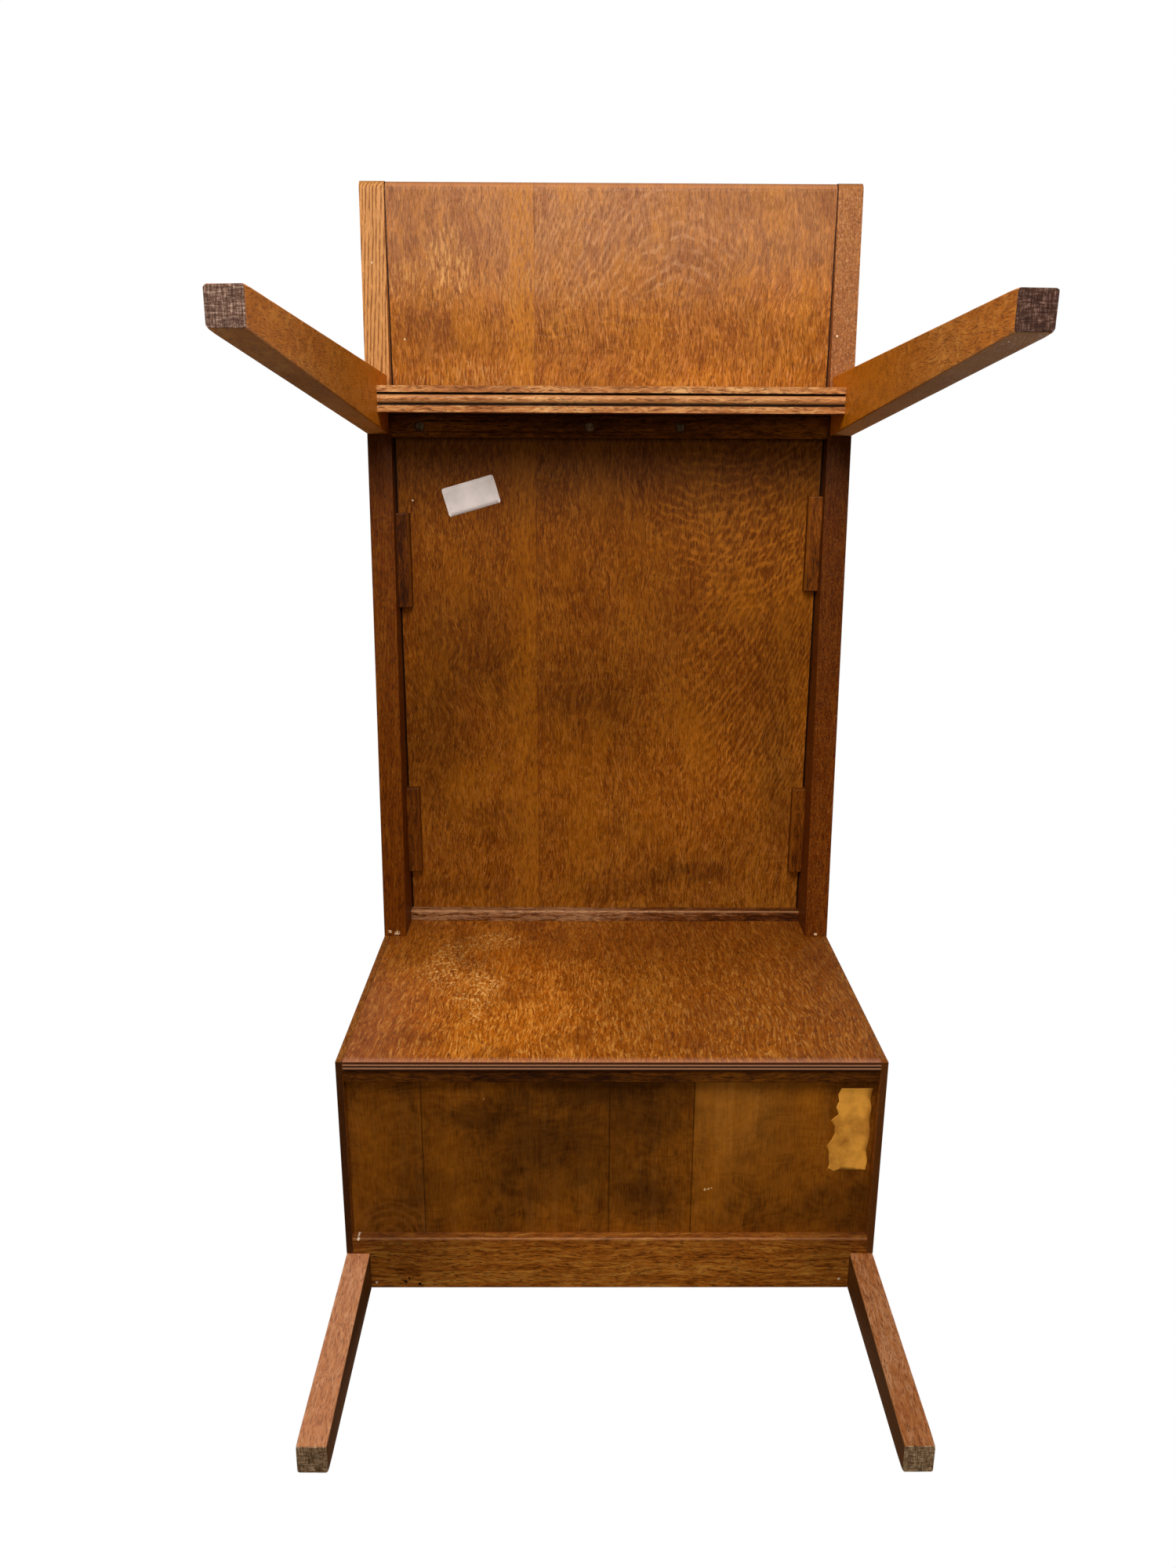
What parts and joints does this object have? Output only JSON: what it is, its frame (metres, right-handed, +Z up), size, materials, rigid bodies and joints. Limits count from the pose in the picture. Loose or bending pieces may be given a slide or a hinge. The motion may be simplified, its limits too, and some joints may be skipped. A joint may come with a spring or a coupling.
{
  "type": "single pedestal writing desk",
  "caption": "Oak writing desk whose planked top runs between tapering side boards, on a frame of raked legs at one end and a low cupboard on short legs at the other.",
  "frame": {"origin": "middle of the desk's bounding box, on the floor", "axes": "+X along the desk towards the pedestal end, +Y towards the back, +Z up"},
  "size_m": [1.313, 0.637, 0.71],
  "materials": {
    "oak_top": "waxed quarter-sawn oak",
    "oak_side": "waxed oak",
    "oak_leg": "waxed oak",
    "oak_rail": "waxed oak",
    "oak_inner": "stained oak, unpolished",
    "oak_ply_wall": "polished oak-faced plywood",
    "birch_ply": "stained birch plywood",
    "oak_door": "waxed oak",
    "turned_oak": "polished turned oak",
    "old_brass": "dulled brass",
    "steel_screw": "dulled steel"
  },
  "bodies": {
    "carcass": {"top_plank_back": "oak_top", "top_plank_front": "oak_top", "side_board_back": "oak_side", "side_board_front": "oak_side", "tall_leg_back": "oak_leg", "tall_leg_front": "oak_leg", "reeded_rail": "oak_rail", "rail_batten": "oak_inner", "batten_screws": "steel_screw", "glue_block_back_outer": "oak_inner", "glue_block_back_inner": "oak_inner", "glue_block_front_outer": "oak_inner", "glue_block_front_inner": "oak_inner", "top_cleat": "oak_inner", "inner_wall": "oak_ply_wall", "side_panel_back": "oak_ply_wall", "side_panel_front": "oak_ply_wall", "bottom_panel": "birch_ply", "bottom_cleat": "oak_inner", "bottom_rail": "oak_rail", "short_leg_back": "oak_leg", "short_leg_front": "oak_leg", "end_apron": "oak_rail", "door_stop": "oak_inner", "panel_cleat_back": "oak_inner", "panel_cleat_front": "oak_inner", "shelf": "birch_ply", "shelf_bearer_back": "oak_inner", "shelf_bearer_front": "oak_inner", "post_leaves_back": "old_brass", "post_leaves_front": "old_brass", "post_leaf_screws_back": "old_brass", "post_leaf_screws_front": "old_brass", "hinge_pins_back": "old_brass", "hinge_pins_front": "old_brass"},
    "door_body_back": {"door_back": "oak_door", "knob_back": "turned_oak", "door_leaves_back": "old_brass", "door_leaf_screws_back": "old_brass"},
    "door_body_front": {"door_front": "oak_door", "knob_front": "turned_oak", "door_leaves_front": "old_brass", "door_leaf_screws_front": "old_brass"}
  },
  "joints": [
    {"name": "door_hinge_back", "type": "hinge", "parent": "carcass", "child": "door_body_back", "pos_m": [0.6395, 0.2858, 0.438], "axis": [0, 0, 1], "range_deg": [0, 170]},
    {"name": "door_hinge_front", "type": "hinge", "parent": "carcass", "child": "door_body_front", "pos_m": [0.6395, -0.2858, 0.438], "axis": [0, 0, -1], "range_deg": [0, 170]}
  ]
}
